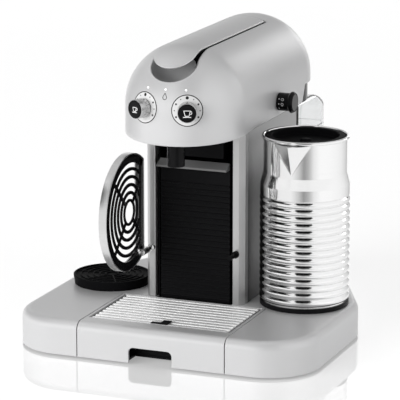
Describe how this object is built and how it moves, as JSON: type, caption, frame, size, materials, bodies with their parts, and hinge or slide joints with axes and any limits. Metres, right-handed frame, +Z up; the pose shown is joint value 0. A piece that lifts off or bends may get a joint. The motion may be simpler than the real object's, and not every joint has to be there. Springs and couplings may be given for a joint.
{
  "type": "pod coffee machine",
  "caption": "Capsule coffee machine with a domed head, lift-up lever, two dials, fold-down cup support, drip drawer, cup warmer, milk frother jug and rear water tank.",
  "frame": {"origin": "middle of the overall box, on the surface that the machine stands on", "axes": "+X to the machine's right as seen from the front (milk jug side), +Y to the rear (water tank), +Z up; the drawer front faces -Y"},
  "size_m": [0.3166, 0.3792, 0.3093],
  "materials": {
    "silver_paint": "satin silver metallic paint",
    "column_panel": "satin grey metallic paint",
    "satin_aluminium": "satin anodised",
    "dial_metal": "fine turned satin",
    "gloss_black": "gloss",
    "matte_black": "fine grain",
    "grey_plastic": "satin",
    "scale_white": "satin white with printed dots",
    "lamp_white": "frosted lens",
    "rubber": "matte",
    "polished_steel": "polished",
    "bar_steel": "bright",
    "inner_metal": "plain",
    "heater_element": "mica faced",
    "hose": "silicone",
    "board_green": "circuit board",
    "clear_plastic": "clear moulded"
  },
  "bodies": {
    "chassis": {"base_shell": "silver_paint", "base_plate": "matte_black", "rubber_feet": "rubber", "base_screws": "bar_steel", "power_inlet": "matte_black", "left_pillar": "satin_aluminium", "right_pillar": "satin_aluminium", "left_side_panel": "column_panel", "right_side_panel": "column_panel", "rear_panel": "matte_black", "bay_liner": "matte_black", "head_shell": "silver_paint", "head_underside": "gloss_black", "coffee_outlet": "gloss_black", "brew_unit": "grey_plastic", "capsule_chute": "matte_black", "pump": "inner_metal", "pump_mount": "rubber", "thermoblock": "inner_metal", "water_hoses": "hose", "power_board": "board_green", "control_board": "board_green", "dial_encoders": "grey_plastic", "left_scale_ring": "scale_white", "right_scale_ring": "scale_white", "indicator_lamps": "lamp_white", "lever_pin": "bar_steel", "milk_control": "grey_plastic", "support_hinge_pin": "polished_steel", "support_rest_pin": "matte_black", "cup_warmer": "matte_black", "warmer_heater": "heater_element", "frother_dock": "matte_black", "frother_motor": "inner_metal", "tank_dock": "matte_black"},
    "lever": {"lever_cover": "silver_paint", "lever_bar": "matte_black"},
    "brew_piston": {"brew_piston": "bar_steel"},
    "left_dial": {"left_dial": "dial_metal"},
    "right_dial": {"right_dial": "dial_metal"},
    "left_button": {"left_button": "gloss_black"},
    "right_button": {"right_button": "gloss_black"},
    "milk_knob": {"milk_knob": "gloss_black", "milk_knob_cap": "grey_plastic"},
    "cup_support": {"support_rim": "polished_steel", "support_grid": "gloss_black"},
    "drawer": {"drawer_cover": "silver_paint", "drip_tray": "matte_black", "drip_grid": "bar_steel", "grid_clip": "matte_black"},
    "container": {"capsule_container": "matte_black", "container_lip": "grey_plastic"},
    "jug": {"milk_jug": "polished_steel", "jug_foot_ring": "matte_black"},
    "jug_lid": {"jug_lid": "matte_black"},
    "whisk": {"whisk": "bar_steel"},
    "tank": {"water_tank": "clear_plastic", "tank_valve": "matte_black"},
    "tank_lid": {"tank_lid": "clear_plastic"}
  },
  "joints": [
    {"name": "lever_hinge", "type": "hinge", "parent": "chassis", "child": "lever", "pos_m": [0, 0.0619, 0.3005], "axis": [-1, 0, 0], "range_deg": [0, 80]},
    {"name": "piston_slide", "type": "slide", "parent": "chassis", "child": "brew_piston", "axis": [0, 1, 0], "range_m": [0, 0.018]},
    {"name": "left_dial_turn", "type": "hinge", "parent": "chassis", "child": "left_dial", "pos_m": [-0.02287, -0.14696, 0.2514], "axis": [-0.3665, -0.9304, 0], "range_deg": [-135, 135]},
    {"name": "right_dial_turn", "type": "hinge", "parent": "chassis", "child": "right_dial", "pos_m": [0.02287, -0.14696, 0.2514], "axis": [0.3665, -0.9304, 0], "range_deg": [-135, 135]},
    {"name": "left_button_push", "type": "slide", "parent": "chassis", "child": "left_button", "axis": [0.3665, 0.9304, 0], "range_m": [0, 0.0015], "stiffness_N_per_m": 400, "springref_m": -0.001},
    {"name": "right_button_push", "type": "slide", "parent": "chassis", "child": "right_button", "axis": [-0.3665, 0.9304, 0], "range_m": [0, 0.0015], "stiffness_N_per_m": 400, "springref_m": -0.001},
    {"name": "milk_knob_turn", "type": "hinge", "parent": "chassis", "child": "milk_knob", "pos_m": [0.0624, 0.0049, 0.2356], "axis": [1, 0, 0], "range_deg": [-60, 60]},
    {"name": "support_fold", "type": "hinge", "parent": "chassis", "child": "cup_support", "pos_m": [-0.046, -0.0881, 0.0906], "axis": [0, 1, 0], "range_deg": [0, 90]},
    {"name": "drawer_slide", "type": "slide", "parent": "chassis", "child": "drawer", "axis": [0, -1, 0], "range_m": [0, 0.16]},
    {"name": "container_slide", "type": "slide", "parent": "drawer", "child": "container", "axis": [0, -1, 0], "range_m": [0, 0.075]},
    {"name": "jug_lift", "type": "slide", "parent": "chassis", "child": "jug", "axis": [0.7071, 0, 0.7071], "range_m": [0, 0.12]},
    {"name": "jug_lid_lift", "type": "slide", "parent": "jug", "child": "jug_lid", "axis": [0, 0, 1], "range_m": [0, 0.04]},
    {"name": "whisk_spin", "type": "hinge", "parent": "jug", "child": "whisk", "pos_m": [0.1065, -0.0369, 0.0459], "axis": [0, 0, 1], "continuous": true},
    {"name": "tank_slide", "type": "slide", "parent": "chassis", "child": "tank", "axis": [0, 1, 0], "range_m": [0, 0.11]},
    {"name": "tank_lid_slide", "type": "slide", "parent": "tank", "child": "tank_lid", "axis": [0, 1, 0], "range_m": [0, 0.1]}
  ],
  "couplings": [
    {"joint": "piston_slide", "follows": "lever_hinge", "m_per_rad": 0.01289}
  ]
}
